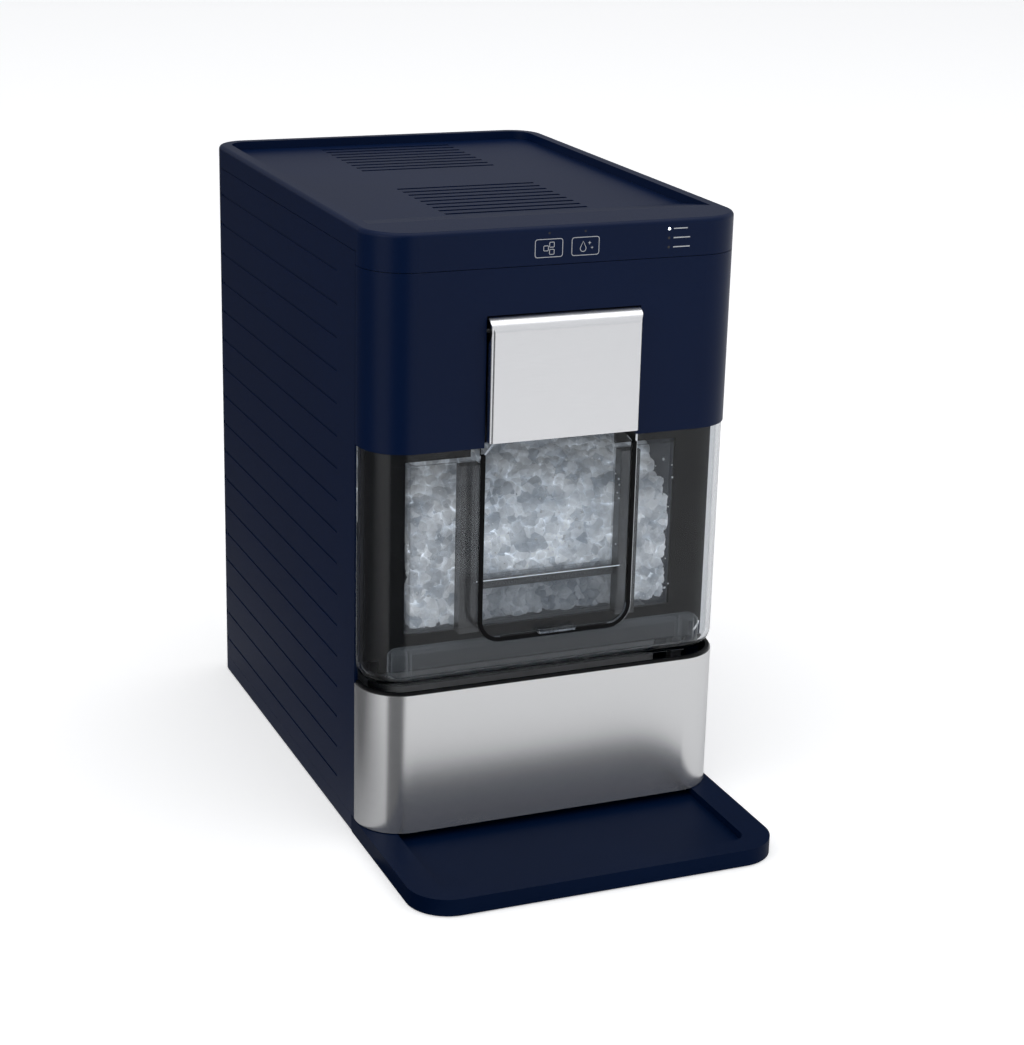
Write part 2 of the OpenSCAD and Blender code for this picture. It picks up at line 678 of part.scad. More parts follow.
module supply_tube() color(white) at_front() {
  pipe([[-60, res_y1 + 0.2, 34], [-60, res_y1 + 10, 34], [pump_x, res_y1 + 10, 34],
    [pump_x, pump_y - 20.2, 34]], 4, 2.8, 4);
  pipe([[pump_x, pump_y, 62.2], [pump_x, pump_y, 120], [pump_x, barrel_y, 165],
    [-27.5, barrel_y, 165]], 4, 2.8, 12);
}

module drain_hose() color(grey) at_front()
  pipe([[drain_x, res_y1 + 0.4, drain_z], [drain_x, res_y1 + 25, drain_z], [drain_x - 12, 240, drain_z - 4],
    [drain_x - 8, 290, drain_z - 4], [drain_x, body_d - 45, drain_z], [drain_x, body_d - 19.4, drain_z]],
    5, 3.8, 12);

module drain_plug() color(black) at_front() difference() {
  union() {
    rod_y(drain_x, body_d - 15, body_d - 0.4, drain_z, 8);
  }
  box(drain_x - 5, drain_x - 1.2, body_d - 5, body_d + 1, drain_z - 4, drain_z + 4);
  box(drain_x + 1.2, drain_x + 5, body_d - 5, body_d + 1, drain_z - 4, drain_z + 4);
}

// ---- ice engine ----

module evaporator_barrel() color(steel) at_front() translate([0, barrel_y, 0]) {
  difference() {
    translate([0, 0, barrel_z0]) cylinder(h = barrel_z1 - barrel_z0, r = barrel_r + barrel_t);
    translate([0, 0, barrel_z0 + 6]) cylinder(h = 200, r = barrel_r);
    translate([0, 0, barrel_z0 - 1]) cylinder(h = 9, r = shaft_r + 0.06);
    rod_x(-40, -10, 0, 165, 2.8);
  }
}

module evaporator_coil() color(copper) at_front() translate([0, barrel_y, 0])
  for (i = [0:12]) translate([0, 0, 178 + i * 8.8]) rotate_extrude()
    translate([barrel_r + barrel_t + 2.5, 0]) circle(2.3, $fn = 24);

module evaporator_insulation() color(white) at_front() translate([0, barrel_y, 0]) difference() {
  translate([0, 0, barrel_z0 + 2]) cylinder(h = barrel_z1 - barrel_z0 - 4, r = 45);
  translate([0, 0, barrel_z0]) cylinder(h = 200, r = barrel_r + barrel_t + 5.2);
  rod_x(-50, -20, 0, 165, 4.6);
  rod_x(-50, -20, 0, 284, 4);
  rod_y(-4, 20, 50, 178, 3);
}

module auger() color(steel) at_front() translate([0, barrel_y, 0]) {
  translate([0, 0, 105]) cylinder(h = barrel_z0 + 8 - 105, r = shaft_r);
  translate([0, 0, barrel_z0 + 7]) cylinder(h = barrel_z1 - barrel_z0 - 10, r = 8);
  translate([0, 0, barrel_z1 - 4]) cylinder(h = 18, r = 5);
  translate([0, 0, barrel_z0 + 9])
    linear_extrude(barrel_z1 - barrel_z0 - 14, twist = -360 * auger_turns, slices = 60, segments = 4)
      translate([7, -2.2]) square([barrel_r - auger_gap - 7.2, 4.4]);
}

module extruder_head() color(grey) at_front() translate([0, barrel_y, barrel_z1]) difference() {
  cylinder(h = 16, r = barrel_r + 9);
  translate([0, 0, -1]) cylinder(h = 18, r = 5.06);
  for (i = [0:7]) rotate(i * 45) translate([14, 0, -1]) cylinder(h = 18, r = 4.5);
}

module case_outline(grow) {
  circle(gear_r + 3.5 + grow);
  translate([motor_x, 0]) circle(pinion_r + 3.5 + grow);
  translate([0, -pinion_r - 3.5 - grow]) square([motor_x, 2 * (pinion_r + 3.5 + grow)]);
}

module gearbox_case() color(grey) at_front() translate([0, barrel_y, 0]) difference() {
  translate([0, 0, case_z0]) linear_extrude(case_z1 - case_z0) case_outline(2.5);
  translate([0, 0, case_z0 + 2.5]) linear_extrude(case_z1 - case_z0 - 6.5) case_outline(0);
  translate([0, 0, case_z0 + 10]) cylinder(h = 60, r = shaft_r + 0.06);
  translate([motor_x, 0, case_z0 - 1]) cylinder(h = 8, r = 4.06);
  translate([gear_r + 1.4, -9, case_z0 + 30]) cube([30, 18, 10]);
}

module auger_gear() color(steel) at_front() translate([0, barrel_y, gear_z0])
  linear_extrude(gear_h) gear_outline(gear_teeth, gear_m, shaft_r);

module motor_pinion() color(steel) at_front() translate([motor_x, barrel_y, 0]) {
  translate([0, 0, case_z0 - 0.4]) cylinder(h = gear_z0 - case_z0 + 12, r = 4);
  translate([0, 0, gear_z0]) linear_extrude(gear_h) rotate(180 / pinion_teeth + 180)
    gear_outline(pinion_teeth, gear_m, 3.9);
}

module gear_motor() color(black) at_front() translate([motor_x, barrel_y, 0]) {
  translate([0, 0, deck_z]) cylinder(h = 14, r = 14);
  translate([0, 0, deck_z + 13.9]) cylinder(h = case_z0 - deck_z - 14.6, r = 23);
}

module ice_chute() color(grey) at_front() difference() {
  across(-28, 28) polygon([[255, 316.4], [255, 352], [205, 352], [138, 318], [138, 278], [166, 278],
    [166, 300], [195, 316.4]]);
  across(-25.5, 25.5) polygon([[252.5, 319], [252.5, 349.5], [205.6, 349.5], [140.5, 316.4], [140.5, 277],
    [163.5, 277], [163.5, 301.4], [193.8, 319]]);
  translate([0, barrel_y, 310]) cylinder(h = 12, r = 20);
}

module ice_level_sensor() color(black) at_front() {
  box(28.2, 42, 141, 156, 280, 296);
  rod_y(36, 136, 141.1, 286, 3);
}

// ---- cooling circuit ----

module compressor() color(black) at_front() translate([comp_x, comp_y, 0]) {
  rotate_extrude() intersection() {
    union() {
      translate([0, 24]) square([comp_r - 16, comp_z1 - 24]);
      translate([0, 40]) square([comp_r, comp_z1 - 56]);
      for (z = [40, comp_z1 - 16]) translate([comp_r - 16, z]) circle(16);
    }
    square([comp_r + 1, comp_z1 + 1]);
  }
  for (i = [0:2]) rotate(i * 120 + 30) translate([0, 0, 24]) difference() {
    box(20, mount_r + 5.5, -8, 8, 0, 3);
    translate([mount_r, 0, -1]) cylinder(h = 5, r = 3.4);
  }
}

module compressor_mounts() color([0.2, 0.2, 0.22]) at_front() translate([comp_x, comp_y, deck_z])
  for (i = [0:2]) rotate(i * 120 + 30) translate([mount_r, 0, 0]) {
    cylinder(h = 7.9, r = 7);
    cylinder(h = 10.4, r = 3.3);
  }

module condenser_fins() color(steel) at_front() for (i = [0:fin_count - 1])
  across(cond_x0 + i * cond_pitch, cond_x0 + i * cond_pitch + 0.5) difference() {
    translate([cond_y0, cond_z0]) square([cond_y1 - cond_y0, 144]);
    for (k = [0:tube_n - 1]) translate([cond_yc, tube_z0 + k * tube_pitch]) circle(tube_r);
  }

module condenser_tube() color(copper) at_front() {
  for (k = [0:tube_n - 1]) rod_x(cond_x0 - 2, cond_x1 + 2, cond_yc, tube_z0 + k * tube_pitch, tube_r);
  for (k = [0:tube_n - 2]) {
    right = k % 2 == 0;
    translate([right ? cond_x1 + 2 : cond_x0 - 2, cond_yc, tube_z0 + (k + 0.5) * tube_pitch])
      rotate([90, 0, 0]) rotate([0, 0, right ? -90 : 90])
        rotate_extrude(angle = 180) translate([tube_pitch / 2, 0]) circle(tube_r);
  }
}

module fan_shroud() color(black) at_front() {
  difference() {
    union() {
      box(8, 104, shroud_y1 - 2.4, shroud_y1, cond_z0, cond_z0 + 144);
      rod_y(fan_x, shroud_y0, shroud_y1, fan_z, fan_r + 3.5);
    }
    rod_y(fan_x, shroud_y0 - 1, shroud_y1 + 1, fan_z, fan_r + 1.5);
  }
  difference() {
    for (i = [0:2]) translate([fan_x, shroud_y0 + 3.5, fan_z]) rotate([90, 0, 0]) rotate(i * 120 + 90)
      translate([10, -3, 0]) cube([fan_r - 7.6, 6, 3]);
    rod_y(fan_x, shroud_y0 - 1, shroud_y0 + 5, fan_z, 17);
  }
}

module fan_motor() color(grey) at_front() rod_y(fan_x, shroud_y0 - 26, shroud_y0 + 5, fan_z, 17);

module fan_blades() color(white) at_front() translate([fan_x, shroud_y0 + 18, fan_z]) rotate([90, 0, 0]) {
  translate([0, 0, -5]) cylinder(h = 12, r = 15);
  for (i = [0:fan_blades_n - 1]) rotate(i * 360 / fan_blades_n) translate([13, 0, 1]) rotate([28, 0, 0])
    translate([0, -11, -0.8]) cube([fan_r - 15.5, 22, 1.6]);
}

module suction_line() color(copper) at_front()
  pipe([[-33.5, barrel_y, 284], [-78, barrel_y, 284], [-78, comp_y, 284],
    [-78, comp_y, comp_z1 + 0.2]], 3.2, 2.2, 16);

module discharge_line() color(copper) at_front()
  pipe([[-50, comp_y, comp_z1 + 0.2], [-50, comp_y, 215], [-8, cond_yc, 215], [-8, cond_yc, 192],
    [cond_x0 - 2.2, cond_yc, 192]], 2.6, 1.8, 8);

module liquid_line() color(copper) at_front() {
  pipe([[cond_x0 - 2.2, cond_yc, tube_z0], [-4, cond_yc, tube_z0], [-4, comp_y - 24, tube_z0],
    [-4, comp_y - 24, 89.8]], 2.4, 1.6, 8);
  pipe([[-4, comp_y - 24, 150.2], [-4, comp_y - 24, 178], [-4, barrel_y + 32, 178]], 1.8, 1, 8);
}

module filter_drier() color(copper) at_front() translate([-4, comp_y - 24, 90]) {
  translate([0, 0, 8]) cylinder(h = 44, r = 9);
  translate([0, 0, 0]) cylinder(h = 60, r = 4);
}

// ---- electrics ----

module main_board() color([0.05, 0.30, 0.14]) at_front() translate([board_x, 0, 0]) {
  box(0, 1.6, 160, 280, 190, 300);
  box(-16, e, 175, 200, 210, 240);
  box(-20, e, 220, 250, 250, 290);
  for (i = [0:3]) rod_x(-12, e, 175 + i * 14, 268, 5);
  for (y = [165, 275], z = [195, 295]) rod_x(1.5, half_w - wall - board_x, y, z, 2.5);
}

module power_inlet() color(black) at_front() {
  difference() {
    box(inlet_x - 13.8, inlet_x + 13.8, body_d - 22, body_d - 0.2, inlet_z - 10.3, inlet_z + 10.3);
    box(inlet_x - 11.8, inlet_x + 11.8, body_d - 17, body_d + 1, inlet_z - 8, inlet_z + 8);
  }
  for (i = [-1:1]) translate([inlet_x + i * 7, 0, inlet_z + abs(i) * 2])
    box(-1, 1, body_d - 18, body_d - 4, -3, 1);
}

base_pan();
rubber_feet();
left_side_panel();
right_side_panel();
rear_panel();
panel_screws();
inner_frame();
top_cover();
indicator_lenses();
display_board();
front_panel();
hinge_brackets();
clear_window();
window_ledge();
inner_liner();
ice_bin();
bin_rim();
steel_skirt();
skirt_backer();
door_plate();
door_carrier();
hinge_pins();
door_flap();
door_gasket();
drip_tray();
water_reservoir();
float();
pump_housing();
pump_impeller();
supply_tube();
drain_hose();
drain_plug();
evaporator_barrel();
evaporator_coil();
evaporator_insulation();
auger();
extruder_head();
gearbox_case();
auger_gear();
motor_pinion();
gear_motor();
ice_chute();
ice_level_sensor();
compressor();
compressor_mounts();
condenser_fins();
condenser_tube();
fan_shroud();
fan_motor();
fan_blades();
suction_line();
discharge_line();
liquid_line();
filter_drier();
main_board();
power_inlet();
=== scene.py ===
import json
import math
import random

import bmesh
import bpy
from mathutils import Matrix, Vector


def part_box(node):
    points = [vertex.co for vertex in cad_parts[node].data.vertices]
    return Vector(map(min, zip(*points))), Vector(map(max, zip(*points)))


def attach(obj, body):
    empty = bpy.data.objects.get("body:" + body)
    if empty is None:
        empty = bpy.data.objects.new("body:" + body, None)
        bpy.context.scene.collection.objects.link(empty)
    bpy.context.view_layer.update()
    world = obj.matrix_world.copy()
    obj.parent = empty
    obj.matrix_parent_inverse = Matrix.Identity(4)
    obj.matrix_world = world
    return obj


MM = 0.001
rng = random.Random(4)

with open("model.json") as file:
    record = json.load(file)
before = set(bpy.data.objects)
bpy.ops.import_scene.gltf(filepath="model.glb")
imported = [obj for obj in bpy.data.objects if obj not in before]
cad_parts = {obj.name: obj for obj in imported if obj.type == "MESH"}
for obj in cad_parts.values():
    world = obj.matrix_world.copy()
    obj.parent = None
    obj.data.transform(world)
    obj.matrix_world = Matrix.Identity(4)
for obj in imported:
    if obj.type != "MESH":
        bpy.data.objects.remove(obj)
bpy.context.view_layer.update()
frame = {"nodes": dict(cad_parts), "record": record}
nodes = frame["nodes"]


def node_box(name):
    low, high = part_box(name)
    return Vector(low), Vector(high)


# ---- camera: the photograph's viewpoint, in the row frame ----

CAMERA_PLACE = Vector((-0.58364, -1.44680, 0.69941))
LENS_MM = 79.27
SENSOR_MM = 36
AZIMUTH = math.radians(-22.789)
ELEVATION = math.radians(18.458)
ROLL = math.radians(1.441)


def make_camera():
    level = math.cos(ELEVATION)
    forward = Vector((-math.sin(AZIMUTH) * level, math.cos(AZIMUTH) * level, -math.sin(ELEVATION)))
    right = Vector((math.cos(AZIMUTH), math.sin(AZIMUTH), 0))
    up = right.cross(forward)
    x_axis = right * math.cos(ROLL) + up * math.sin(ROLL)
    y_axis = up * math.cos(ROLL) - right * math.sin(ROLL)
    data = bpy.data.cameras.new("camera")
    data.lens = LENS_MM
    data.sensor_width = SENSOR_MM
    camera = bpy.data.objects.new("camera", data)
    bpy.context.scene.collection.objects.link(camera)
    turn = Matrix((x_axis, y_axis, -forward)).transposed().to_4x4()
    camera.matrix_world = Matrix.Translation(CAMERA_PLACE) @ turn
    bpy.context.scene.camera = camera


make_camera()

# ---- materials ----


def new_material(name, color, roughness, metallic=0.0, **sockets):
    mat = bpy.data.materials.new(name)
    mat.use_nodes = True
    bsdf = mat.node_tree.nodes["Principled BSDF"]
    bsdf.inputs["Base Color"].default_value = (*color, 1)
    bsdf.inputs["Roughness"].default_value = roughness
    bsdf.inputs["Metallic"].default_value = metallic
    for key, value in sockets.items():
        bsdf.inputs[key.replace("_", " ")].default_value = value
    return mat, mat.node_tree, bsdf


def math_node(tree, kind, a, b=None):
    """One Math node; a and b are numbers or sockets."""
    node = tree.nodes.new("ShaderNodeMath")
    node.operation = kind
    for socket, value in zip(node.inputs, (a, b)):
        if isinstance(value, (int, float)):
            socket.default_value = value
        elif value is not None:
            tree.links.new(value, socket)
    return node.outputs[0]


def run_between(tree, value, from_min, from_max, to_min=0.0, to_max=1.0):
    """The value's run between two limits, laid over another pair of limits."""
    run = tree.nodes.new("ShaderNodeMapRange")
    limits = {"From Min": from_min, "From Max": from_max, "To Min": to_min, "To Max": to_max}
    for key, limit in limits.items():
        run.inputs[key].default_value = limit
    tree.links.new(value, run.inputs["Value"])
    return run.outputs["Result"]


def place_axes(tree):
    """The x, y and z of the shaded point in the row frame."""
    place = tree.nodes.new("ShaderNodeNewGeometry")
    split = tree.nodes.new("ShaderNodeSeparateXYZ")
    tree.links.new(place.outputs["Position"], split.inputs["Vector"])
    return split.outputs


def noise_node(tree, scale, detail=3.0, stretch=(1, 1, 1)):
    coords = tree.nodes.new("ShaderNodeTexCoord")
    mapping = tree.nodes.new("ShaderNodeMapping")
    mapping.inputs["Scale"].default_value = stretch
    noise = tree.nodes.new("ShaderNodeTexNoise")
    noise.inputs["Scale"].default_value = scale
    noise.inputs["Detail"].default_value = detail
    tree.links.new(coords.outputs["Object"], mapping.inputs["Vector"])
    tree.links.new(mapping.outputs["Vector"], noise.inputs["Vector"])
    return noise


def vary(tree, noise, socket, low, high, at=(0.3, 0.7)):
    """Drives a colour or roughness socket between two values by a node's first output."""
    ramp = tree.nodes.new("ShaderNodeValToRGB")
    ramp.color_ramp.elements[0].position = at[0]
    ramp.color_ramp.elements[1].position = at[1]
    for element, value in zip(ramp.color_ramp.elements, (low, high)):
        rgb = value if isinstance(value, tuple) else (value, value, value)
        element.color = (*rgb, 1)
    tree.links.new(noise.outputs[0], ramp.inputs["Fac"])
    tree.links.new(ramp.outputs["Color"], socket)


def bump(tree, bsdf, noise, strength, distance):
    node = tree.nodes.new("ShaderNodeBump")
    node.inputs["Strength"].default_value = strength
    node.inputs["Distance"].default_value = distance
    tree.links.new(noise.outputs["Fac"], node.inputs["Height"])
    tree.links.new(node.outputs["Normal"], bsdf.inputs["Normal"])


def plastic(name, color, roughness, grain=1400, strength=0.08, **sockets):
    mat, tree, bsdf = new_material(name, color, roughness, **sockets)
    noise = noise_node(tree, grain)
    vary(tree, noise, bsdf.inputs["Roughness"], roughness * 0.92, roughness * 1.08)
    blotch = noise_node(tree, 9)
    dark = tuple(c * 0.94 for c in color)
    light = tuple(min(1, c * 1.06) for c in color)
    vary(tree, blotch, bsdf.inputs["Base Color"], dark, light)
    if strength:
        bump(tree, bsdf, noise, strength, 0.0001)
    return mat


def brushed(name, color, roughness, stretch, anisotropy=0.0, metallic=1.0):
    mat, tree, bsdf = new_material(name, color, roughness, metallic, Anisotropic=anisotropy)
    noise = noise_node(tree, 110, 5.0, stretch)
    vary(tree, noise, bsdf.inputs["Roughness"], roughness * 0.94, roughness * 1.06)
    dark = tuple(c * 0.97 for c in color)
    light = tuple(min(1, c * 1.03) for c in color)
    vary(tree, noise, bsdf.inputs["Base Color"], dark, light)
    if anisotropy:
        bsdf.inputs["Anisotropic Rotation"].default_value = 0.25
        tangent = tree.nodes.new("ShaderNodeTangent")
        tangent.direction_type = "RADIAL"
        tangent.axis = "Z"
        tree.links.new(tangent.outputs["Tangent"], bsdf.inputs["Tangent"])
    return mat


def smoked(name, color, opacity, edge=0.8, roughness=0.04, level=1.0):
    """Thin clear plastic: mostly see-through face on, denser where it turns away, with a sharp sheen."""
    mat, tree, bsdf = new_material(name, color, roughness, 0.0, Specular_IOR_Level=level)
    noise = noise_node(tree, 30)
    vary(tree, noise, bsdf.inputs["Roughness"], roughness, roughness * 1.6)
    facing = tree.nodes.new("ShaderNodeLayerWeight")
    facing.inputs["Blend"].default_value = 0.3
    alpha = run_between(tree, facing.outputs["Facing"], 0.25, 0.9, opacity, edge)
    tree.links.new(alpha, bsdf.inputs["Alpha"])
    return mat


def glassy(name, tint, roughness=0.02, ior=1.3):
    """Thick clear plastic that bends what is behind it and gathers light at its edges."""
    mat, tree, bsdf = new_material(name, tint, roughness, 0.0, IOR=ior, Transmission_Weight=1.0)
    noise = noise_node(tree, 40)
    vary(tree, noise, bsdf.inputs["Roughness"], roughness, roughness * 1.5)
    return mat


# Painted light: the ice's emission strength, which stands in for the light on the ice, and the heights and
# level of its painted shade.
ICE_PAINTED_LIGHT = 0.30
CHIP_SCALE = 135
CHIP_SHARE = 0.38
HEAP_SHADE_Z = (0.220, 0.262)
LIP_SHADE_Z = (0.179, 0.184)
UNDER_LIP_LIGHT = 0.22
SCOOP_HALF_WIDTH = 0.058


def ice():
    """Cloudy ice lit by painted light, an emission that stands in for the light in the bin, with painted
    shade at the top of the heap and under the lip.
    """
    mat, tree, bsdf = new_material("ice", (0.7, 0.75, 0.8), 0.3, IOR=1.31)
    chips = tree.nodes.new("ShaderNodeTexVoronoi")
    chips.inputs["Scale"].default_value = CHIP_SCALE
    coords = tree.nodes.new("ShaderNodeTexCoord")
    tree.links.new(coords.outputs["Object"], chips.inputs["Vector"])
    chip_color = tree.nodes.new("ShaderNodeSeparateColor")
    tree.links.new(chips.outputs["Color"], chip_color.inputs["Color"])
    blend = tree.nodes.new("ShaderNodeMath")
    blend.operation = "MULTIPLY_ADD"
    blend.inputs[1].default_value = CHIP_SHARE
    tree.links.new(chip_color.outputs[0], blend.inputs[0])
    tree.links.new(noise_node(tree, 45, 2.0).outputs["Fac"], blend.inputs[2])
    for socket, dark, light in (("Base Color", (0.36, 0.40, 0.45), (0.84, 0.87, 0.91)),
                                ("Emission Color", (0.40, 0.44, 0.49), (0.95, 0.98, 1.0))):
        vary(tree, blend, bsdf.inputs[socket], dark, light, (0.42, 0.92))
    bump(tree, bsdf, noise_node(tree, 420, 2.0), 0.3, 0.0004)
    # Painted light and painted shade: the ice's emission fades towards the top of the heap and drops under
    # the lip across the scoop.
    axes = place_axes(tree)
    heap_light = run_between(tree, axes["Z"], *HEAP_SHADE_Z, ICE_PAINTED_LIGHT, ICE_PAINTED_LIGHT * 0.25)
    lip_light = run_between(tree, axes["Z"], *LIP_SHADE_Z, UNDER_LIP_LIGHT, 1.0)
    beside = math_node(tree, "GREATER_THAN", math_node(tree, "ABSOLUTE", axes["X"]), SCOOP_HALF_WIDTH)
    scoop_light = math_node(tree, "MAXIMUM", beside, lip_light)
    strength = math_node(tree, "MULTIPLY", heap_light, scoop_light)
    tree.links.new(strength, bsdf.inputs["Emission Strength"])
    return mat


def glow(name, color, strength):
    mat, tree, bsdf = new_material(name, color, 0.4)
    bsdf.inputs["Emission Color"].default_value = (*color, 1)
    bsdf.inputs["Emission Strength"].default_value = strength
    return mat


NAVY = (0.0008, 0.0090, 0.0430)
finishes = {
    "navy_plastic": plastic("navy_plastic", NAVY, 0.34, Specular_IOR_Level=0.15),
    "clear_plastic": smoked("clear_plastic", (0.22, 0.24, 0.27), 0.08),
    "black_plastic": plastic("black_plastic", (0.0035, 0.0040, 0.0048), 0.40, strength=0,
                             Specular_IOR_Level=0.15),
    "brushed_steel": brushed("brushed_steel", (0.72, 0.73, 0.74), 0.40, (1, 1, 18), 0.85),
    "bare_steel": brushed("bare_steel", (0.60, 0.61, 0.62), 0.35, (1, 1, 10)),
    "rubber": plastic("rubber", (0.012, 0.012, 0.013), 0.6, 700, 0.2),
    "copper_pipe": brushed("copper_pipe", (0.80, 0.42, 0.26), 0.3, (1, 1, 4)),
    "white_plastic": plastic("white_plastic", (0.74, 0.75, 0.76), 0.45),
    "grey_plastic": plastic("grey_plastic", (0.20, 0.21, 0.23), 0.5),
    "painted_steel": plastic("painted_steel", (0.010, 0.010, 0.012), 0.25),
    "fin_aluminium": brushed("fin_aluminium", (0.72, 0.73, 0.74), 0.35, (1, 1, 12)),
    "circuit_board": plastic("circuit_board", (0.01, 0.09, 0.03), 0.4),
    "lens": plastic("lens", (0.02, 0.02, 0.025), 0.2),
}
own_finish = {
    "clear_window": glassy("window_clear", (0.90, 0.92, 0.94)),
    "door_flap": glassy("flap_clear", (0.86, 0.89, 0.92)),
    # Partly painted highlight: smoky clear plastic whose light grey tint, dense where it turns away, stands
    # in for the glassy highlights on the ledge's edges.
    "window_ledge": smoked("ledge_clear_painted_highlight", (0.50, 0.54, 0.58), 0.07, edge=0.85),
    "bin_rim": smoked("rim_clear", (0.020, 0.022, 0.026), 0.70, edge=0.9),
    "door_gasket": plastic("gasket_black", (0.003, 0.003, 0.0035), 0.5, strength=0,
                           Specular_IOR_Level=0.1),
    "steel_skirt": brushed("skirt_steel", (0.84, 0.84, 0.84), 0.24, (1, 1, 18), 0.3, metallic=0.85),
    "door_plate": brushed("plate_steel", (0.93, 0.93, 0.94), 0.24, (1, 1, 18), 0.4),
    "drip_tray": plastic("tray_plastic", (0.0008, 0.0070, 0.0300), 0.42, Specular_IOR_Level=0.04),
}


def dress_cad():
    for part in frame["record"]["subparts"]:
        name = part["node"]
        obj = nodes[name]
        mat = own_finish.get(name, finishes[part["material_slot"]])
        if not obj.material_slots:
            obj.data.materials.append(mat)
        for held in obj.material_slots:
            held.material = mat


dress_cad()

# ---- pieces ----


def add_mesh(name, verts, faces, mat, body, smooth=False):
    mesh = bpy.data.meshes.new(name)
    mesh.from_pydata([tuple(v) for v in verts], [], faces)
    mesh.update()
    if smooth:
        mesh.shade_smooth()
    mesh.materials.append(mat)
    obj = bpy.data.objects.new(name, mesh)
    bpy.context.scene.collection.objects.link(obj)
    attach(obj, body)


def lump_template():
    bm = bmesh.new()
    bmesh.ops.create_icosphere(bm, subdivisions=2, radius=1)
    verts = [v.co.copy() for v in bm.verts]
    index = {v: i for i, v in enumerate(bm.verts)}
    faces = [[index[v] for v in f.verts] for f in bm.faces]
    bm.free()
    return verts, faces


LUMP_VERTS, LUMP_FACES = lump_template()


def lumps(places, jitter):
    """Many small rounded lumps in one mesh: places is a list of (centre, radius)."""
    verts, faces = [], []
    for centre, radius in places:
        angle = rng.uniform(0, 6.28)
        axis = Vector((rng.gauss(0, 1), rng.gauss(0, 1), rng.gauss(0, 1)))
        turn = Matrix.Rotation(angle, 3, axis)
        scale = [radius * rng.uniform(0.7, 1.25) for _ in range(3)]
        start = len(verts)
        for v in LUMP_VERTS:
            w = Vector(v[i] * scale[i] * (1 + rng.uniform(-jitter, jitter)) for i in range(3))
            verts.append(turn @ w + centre)
        faces.extend([[start + i for i in f] for f in LUMP_FACES])
    return verts, faces


BIN_WALL = 2.5 * MM
NUGGET_STEP = 5.6 * MM
WALL_GAP = 0.2 * MM
HEAP_DEPTH = 0.075
HEAP_FRONT_Z = 0.222
HEAP_SLOPE = 0.75
HEAP_CROWN = 0.018
ABOVE_BIN = 0.012


def ice_heap():
    """Nuggets packed against the bin's front wall, and a slope of them running back from its top."""
    low, high = node_box("ice_bin")
    inner_low = low + Vector((BIN_WALL, BIN_WALL, BIN_WALL))
    inner_high = high - Vector((BIN_WALL, BIN_WALL, 0))
    step = NUGGET_STEP
    width = inner_high.x - inner_low.x
    columns = int(width / step)
    places = []
    depth = 0.0
    while depth < HEAP_DEPTH:
        face_top = HEAP_FRONT_Z + HEAP_SLOPE * depth
        bottom = inner_low.z if depth < 2 * step else face_top - 3 * step
        for column in range(columns):
            x = inner_low.x + (column + 0.5) * width / columns
            crown = HEAP_CROWN * (1 - (x / inner_high.x) ** 2)
            top = face_top + crown + rng.uniform(-0.004, 0.004)
            z = bottom + 0.5 * step
            while z < min(top, inner_high.z + ABOVE_BIN):
                radius = step * rng.uniform(0.62, 1.0)
                shift = Vector((rng.uniform(-0.3, 0.3), rng.uniform(0, 0.5), rng.uniform(-0.3, 0.3))) * step
                places.append((Vector((x, inner_low.y + radius * 0.9 + depth, z)) + shift, radius))
                z += step
        depth += step
    verts, faces = lumps(places, 0.22)
    for v in verts:
        v.x = min(max(v.x, inner_low.x + WALL_GAP), inner_high.x - WALL_GAP)
        v.y = max(v.y, inner_low.y + WALL_GAP)
        v.z = max(v.z, inner_low.z + WALL_GAP)
    add_mesh("ice_nuggets", verts, faces, ice(), "cabinet")


def droplets(name, body, areas, count):
    """Tiny drops of water on clear plastic: areas is a list of (x0, x1, z0, z1, y)."""
    places = []
    for _ in range(count):
        x0, x1, z0, z1, y = rng.choice(areas)
        radius = MM * rng.choice([0.35, 0.45, 0.6, 0.9])
        places.append((Vector((rng.uniform(x0, x1), y, rng.uniform(z0, z1))), radius))
    verts, faces = lumps(places, 0.0)
    mat = new_material("water_drop", (0.9, 0.93, 0.96), 0.06, IOR=1.33)[0]
    add_mesh(name, verts, faces, mat, body, smooth=True)


DROPS = 90
# Half width and heights of the painted highlight strip along the bin's lip.
LIP_HALF = 0.052
LIP_HIGHLIGHT_Z = (0.1812, 0.1819)

ice_heap()
front_y = node_box("front_panel")[0].y
flap_low, flap_high = node_box("door_flap")
flap_area = (flap_low.x + 0.006, flap_high.x - 0.006, 0.19, 0.272, front_y + 0.0044)
droplets("flap_drops", "scoop_door", [flap_area], DROPS)
drop_y = node_box("ice_bin")[0].y - 0.0004
window_areas = [(-0.095, -0.072, 0.15, 0.258, drop_y), (0.072, 0.095, 0.15, 0.258, drop_y)]
droplets("window_drops", "cabinet", window_areas, DROPS)

# Painted highlight: a thin glowing strip on the bin rim's lip stands in for the light caught along its
# edge.
lip_highlight_y = node_box("bin_rim")[0].y - 0.0001
lip_highlight_low, lip_highlight_high = LIP_HIGHLIGHT_Z
lip_highlight_verts = [(-LIP_HALF, lip_highlight_y, lip_highlight_low), (LIP_HALF, lip_highlight_y, lip_highlight_low),
              (LIP_HALF, lip_highlight_y, lip_highlight_high), (-LIP_HALF, lip_highlight_y, lip_highlight_high)]
add_mesh("lip_painted_highlight", lip_highlight_verts, [[0, 1, 2, 3]],
         glow("lip_painted_highlight", (0.75, 0.79, 0.83), 0.5), "cabinet")

# ---- printed marks on the control band ----


def arc(cx, cz, radius, a0, a1, steps):
    angles = [a0 + (a1 - a0) * i / steps for i in range(steps + 1)]
    return [(cx + radius * math.cos(a), cz + radius * math.sin(a)) for a in angles]


